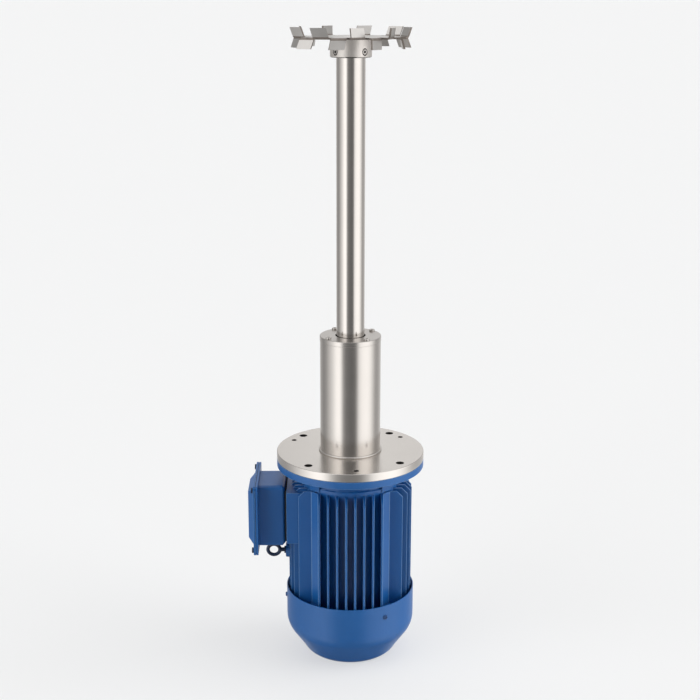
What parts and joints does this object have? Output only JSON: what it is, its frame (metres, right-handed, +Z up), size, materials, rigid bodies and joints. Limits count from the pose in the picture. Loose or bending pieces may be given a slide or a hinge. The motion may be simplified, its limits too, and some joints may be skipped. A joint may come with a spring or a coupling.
{
  "type": "high shear homogenizer mixer",
  "caption": "Upright homogenizer mixer: a flange-mounted electric motor with a finned housing turns a long stainless spindle that ends in a toothed dispersing disc.",
  "frame": {"origin": "on the spindle axis, at the flat end of the motor's fan cover on which the mixer stands", "axes": "+Z up along the spindle towards the dispersing disc, -X towards the terminal box, -Y towards the camera of the picture"},
  "size_m": [0.299, 0.25, 1.0675],
  "materials": {
    "blue_paint": "semi-gloss enamel on cast and sheet metal",
    "dark_blue_paint": "dark enamel",
    "black_screw": "blackened steel",
    "zinc_screw": "zinc-plated steel",
    "stainless_screw": "stainless steel",
    "stainless_satin": "satin turned stainless steel",
    "stainless_blade": "satin stainless sheet and turned hub",
    "steel_shaft": "ground steel",
    "bearing_steel": "ground bearing steel",
    "lamination": "stacked electrical sheet",
    "copper_winding": "varnished copper",
    "black_rubber": "matt rubber",
    "black_plastic": "moulded plastic"
  },
  "bodies": {
    "frame": {"bearing_carrier": "stainless_satin", "blanking_plug": "black_plastic", "box_screw_1": "black_screw", "box_screw_2": "black_screw", "cable_gland": "black_plastic", "cap_ring": "stainless_satin", "cap_screw_1": "stainless_screw", "cap_screw_2": "stainless_screw", "cap_screw_3": "stainless_screw", "cap_screw_4": "stainless_screw", "drive_bearing_outer": "bearing_steel", "drive_endshield": "blue_paint", "eye_bolt": "dark_blue_paint", "fan_cover": "blue_paint", "fan_cover_screw_1": "dark_blue_paint", "fan_cover_screw_2": "dark_blue_paint", "fan_cover_screw_3": "dark_blue_paint", "flange_screw_1": "zinc_screw", "flange_screw_2": "zinc_screw", "flange_screw_3": "zinc_screw", "gland_nut": "black_plastic", "gland_seal": "black_rubber", "guide_bearing_outer": "bearing_steel", "housing_tube": "stainless_satin", "lid_screw_1": "black_screw", "lid_screw_2": "black_screw", "lid_screw_3": "black_screw", "lid_screw_4": "black_screw", "lip_seal": "black_rubber", "mounting_flange": "stainless_satin", "pad_gasket": "black_rubber", "rear_bearing_outer": "bearing_steel", "rear_endshield": "blue_paint", "stator_core": "lamination", "stator_housing": "blue_paint", "terminal_board": "black_plastic", "terminal_box_base": "blue_paint", "terminal_box_gasket": "black_rubber", "terminal_box_lid": "blue_paint", "tie_bolt_1": "zinc_screw", "tie_bolt_2": "zinc_screw", "tie_bolt_3": "zinc_screw", "tie_bolt_4": "zinc_screw", "weld_bead": "stainless_satin", "winding_lower": "copper_winding", "winding_upper": "copper_winding"},
    "spindle": {"motor_shaft": "steel_shaft", "shaft_key": "steel_shaft", "rotor": "lamination", "rear_bearing_inner": "bearing_steel", "drive_bearing_inner": "bearing_steel", "guide_bearing_inner": "bearing_steel", "cooling_fan": "black_plastic", "fan_clip": "steel_shaft", "spindle": "stainless_satin", "coupling_screw": "black_screw", "blade_hub": "stainless_blade", "dispersing_disc": "stainless_blade", "hub_set_screw_1": "black_screw", "hub_set_screw_2": "black_screw"}
  },
  "joints": [
    {"name": "spindle_spin", "type": "hinge", "parent": "frame", "child": "spindle", "pos_m": [0, 0, 0], "axis": [0, 0, 1], "continuous": true}
  ]
}
